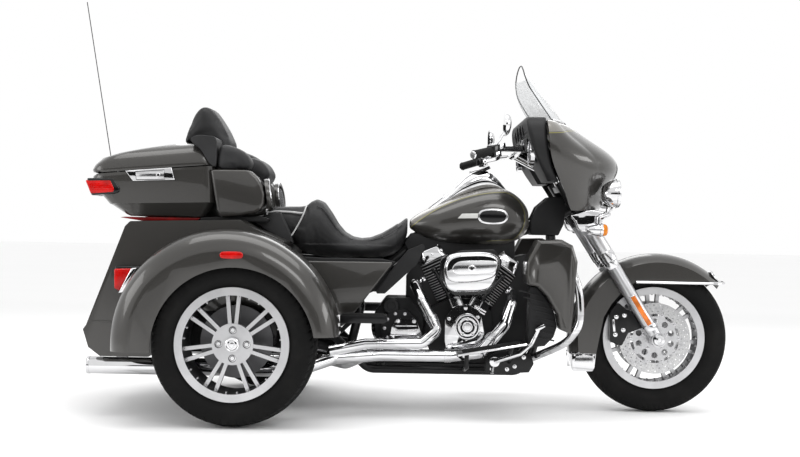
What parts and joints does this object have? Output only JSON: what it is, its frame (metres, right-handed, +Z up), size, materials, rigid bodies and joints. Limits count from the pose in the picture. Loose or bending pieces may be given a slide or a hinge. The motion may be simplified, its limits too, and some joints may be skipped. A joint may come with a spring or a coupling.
{
  "type": "three-wheeled touring motorcycle",
  "caption": "Touring motorcycle with one steered wheel ahead and two driven wheels behind, a bar-mounted fairing, an open twin engine, a trunk and a top case with lids.",
  "frame": {"origin": "on the ground under the centre of the overall box", "axes": "+X forward, +Y to the rider's left, +Z up"},
  "size_m": [2.822, 1.4066, 1.7523],
  "materials": {
    "paint": "gloss metallic dark grey",
    "chrome": "polished",
    "black_metal": "satin black",
    "black_plastic": "matte black",
    "seat_leather": "soft satin black",
    "tyre_rubber": "matte",
    "cast_alloy": "satin machined",
    "disc_steel": "brushed",
    "red_lens": "clear red lens",
    "clear_screen": "clear polycarbonate"
  },
  "bodies": {
    "chassis": {"fuel_tank": "paint", "rear_body": "paint", "rear_fenders": "paint", "top_case_base": "paint", "speaker_pods": "paint", "side_panels": "paint", "fairing_lowers": "paint", "rocker_covers": "chrome", "engine_covers": "chrome", "primary_cover": "chrome", "air_cleaner_cover": "chrome", "exhaust": "chrome", "mufflers": "chrome", "top_case_rack": "chrome", "top_case_latch": "chrome", "tank_console": "chrome", "engine_guard": "chrome", "brake_pedal": "chrome", "speakers": "chrome", "frame": "black_metal", "rear_axle": "black_metal", "crankcase": "black_metal", "cylinders": "black_metal", "gearbox": "black_metal", "plate_holder": "black_metal", "floorboards": "black_metal", "rear_calipers": "black_metal", "air_cleaner_backplate": "black_plastic", "side_covers": "black_plastic", "radiators": "black_plastic", "antenna": "black_plastic", "seat": "seat_leather", "lower_backrest": "seat_leather", "armrests": "seat_leather", "tail_lamps": "red_lens"},
    "steering": {"fork": "black_metal", "fork_sliders": "chrome", "front_calipers": "black_metal", "front_fender": "paint", "handlebar": "chrome", "hand_controls": "black_plastic", "mirrors": "chrome", "fairing": "paint", "inner_fairing": "black_plastic", "windshield": "clear_screen", "headlamp": "chrome", "passing_lamps": "chrome", "turn_signals": "chrome", "lamp_bar": "chrome"},
    "front_wheel": {"front_tyre": "tyre_rubber", "front_rim": "cast_alloy", "front_discs": "disc_steel"},
    "rear_wheel_left": {"rear_tyre_left": "tyre_rubber", "rear_rim_left": "cast_alloy"},
    "rear_wheel_right": {"rear_tyre_right": "tyre_rubber", "rear_rim_right": "cast_alloy"},
    "top_case_lid": {"top_case_lid": "paint", "backrest": "seat_leather"},
    "trunk_lid": {"trunk_door": "paint"},
    "filler_lid": {"fuel_door": "chrome"}
  },
  "joints": [
    {"name": "steering_head", "type": "hinge", "parent": "chassis", "child": "steering", "pos_m": [0.7658, 0, 0.88], "axis": [-0.4384, 0, 0.8988], "range_deg": [-30, 30]},
    {"name": "front_wheel_spin", "type": "hinge", "parent": "steering", "child": "front_wheel", "pos_m": [1.096, 0, 0.315], "axis": [0, 1, 0], "continuous": true},
    {"name": "rear_left_spin", "type": "hinge", "parent": "chassis", "child": "rear_wheel_left", "pos_m": [-0.607, 0.565, 0.315], "axis": [0, 1, 0], "continuous": true},
    {"name": "rear_right_spin", "type": "hinge", "parent": "chassis", "child": "rear_wheel_right", "pos_m": [-0.607, -0.565, 0.315], "axis": [0, 1, 0], "continuous": true},
    {"name": "top_case_hinge", "type": "hinge", "parent": "chassis", "child": "top_case_lid", "pos_m": [-0.98, 0.293, 0.992], "axis": [-1, 0, 0], "range_deg": [0, 80]},
    {"name": "trunk_hinge", "type": "hinge", "parent": "chassis", "child": "trunk_lid", "pos_m": [-1.19763, 0, 0.42257], "axis": [0, -1, 0], "range_deg": [0, 80]},
    {"name": "filler_hinge", "type": "hinge", "parent": "chassis", "child": "filler_lid", "pos_m": [0.20164, 0, 0.90524], "axis": [0, 1, 0], "range_deg": [0, 90]}
  ]
}
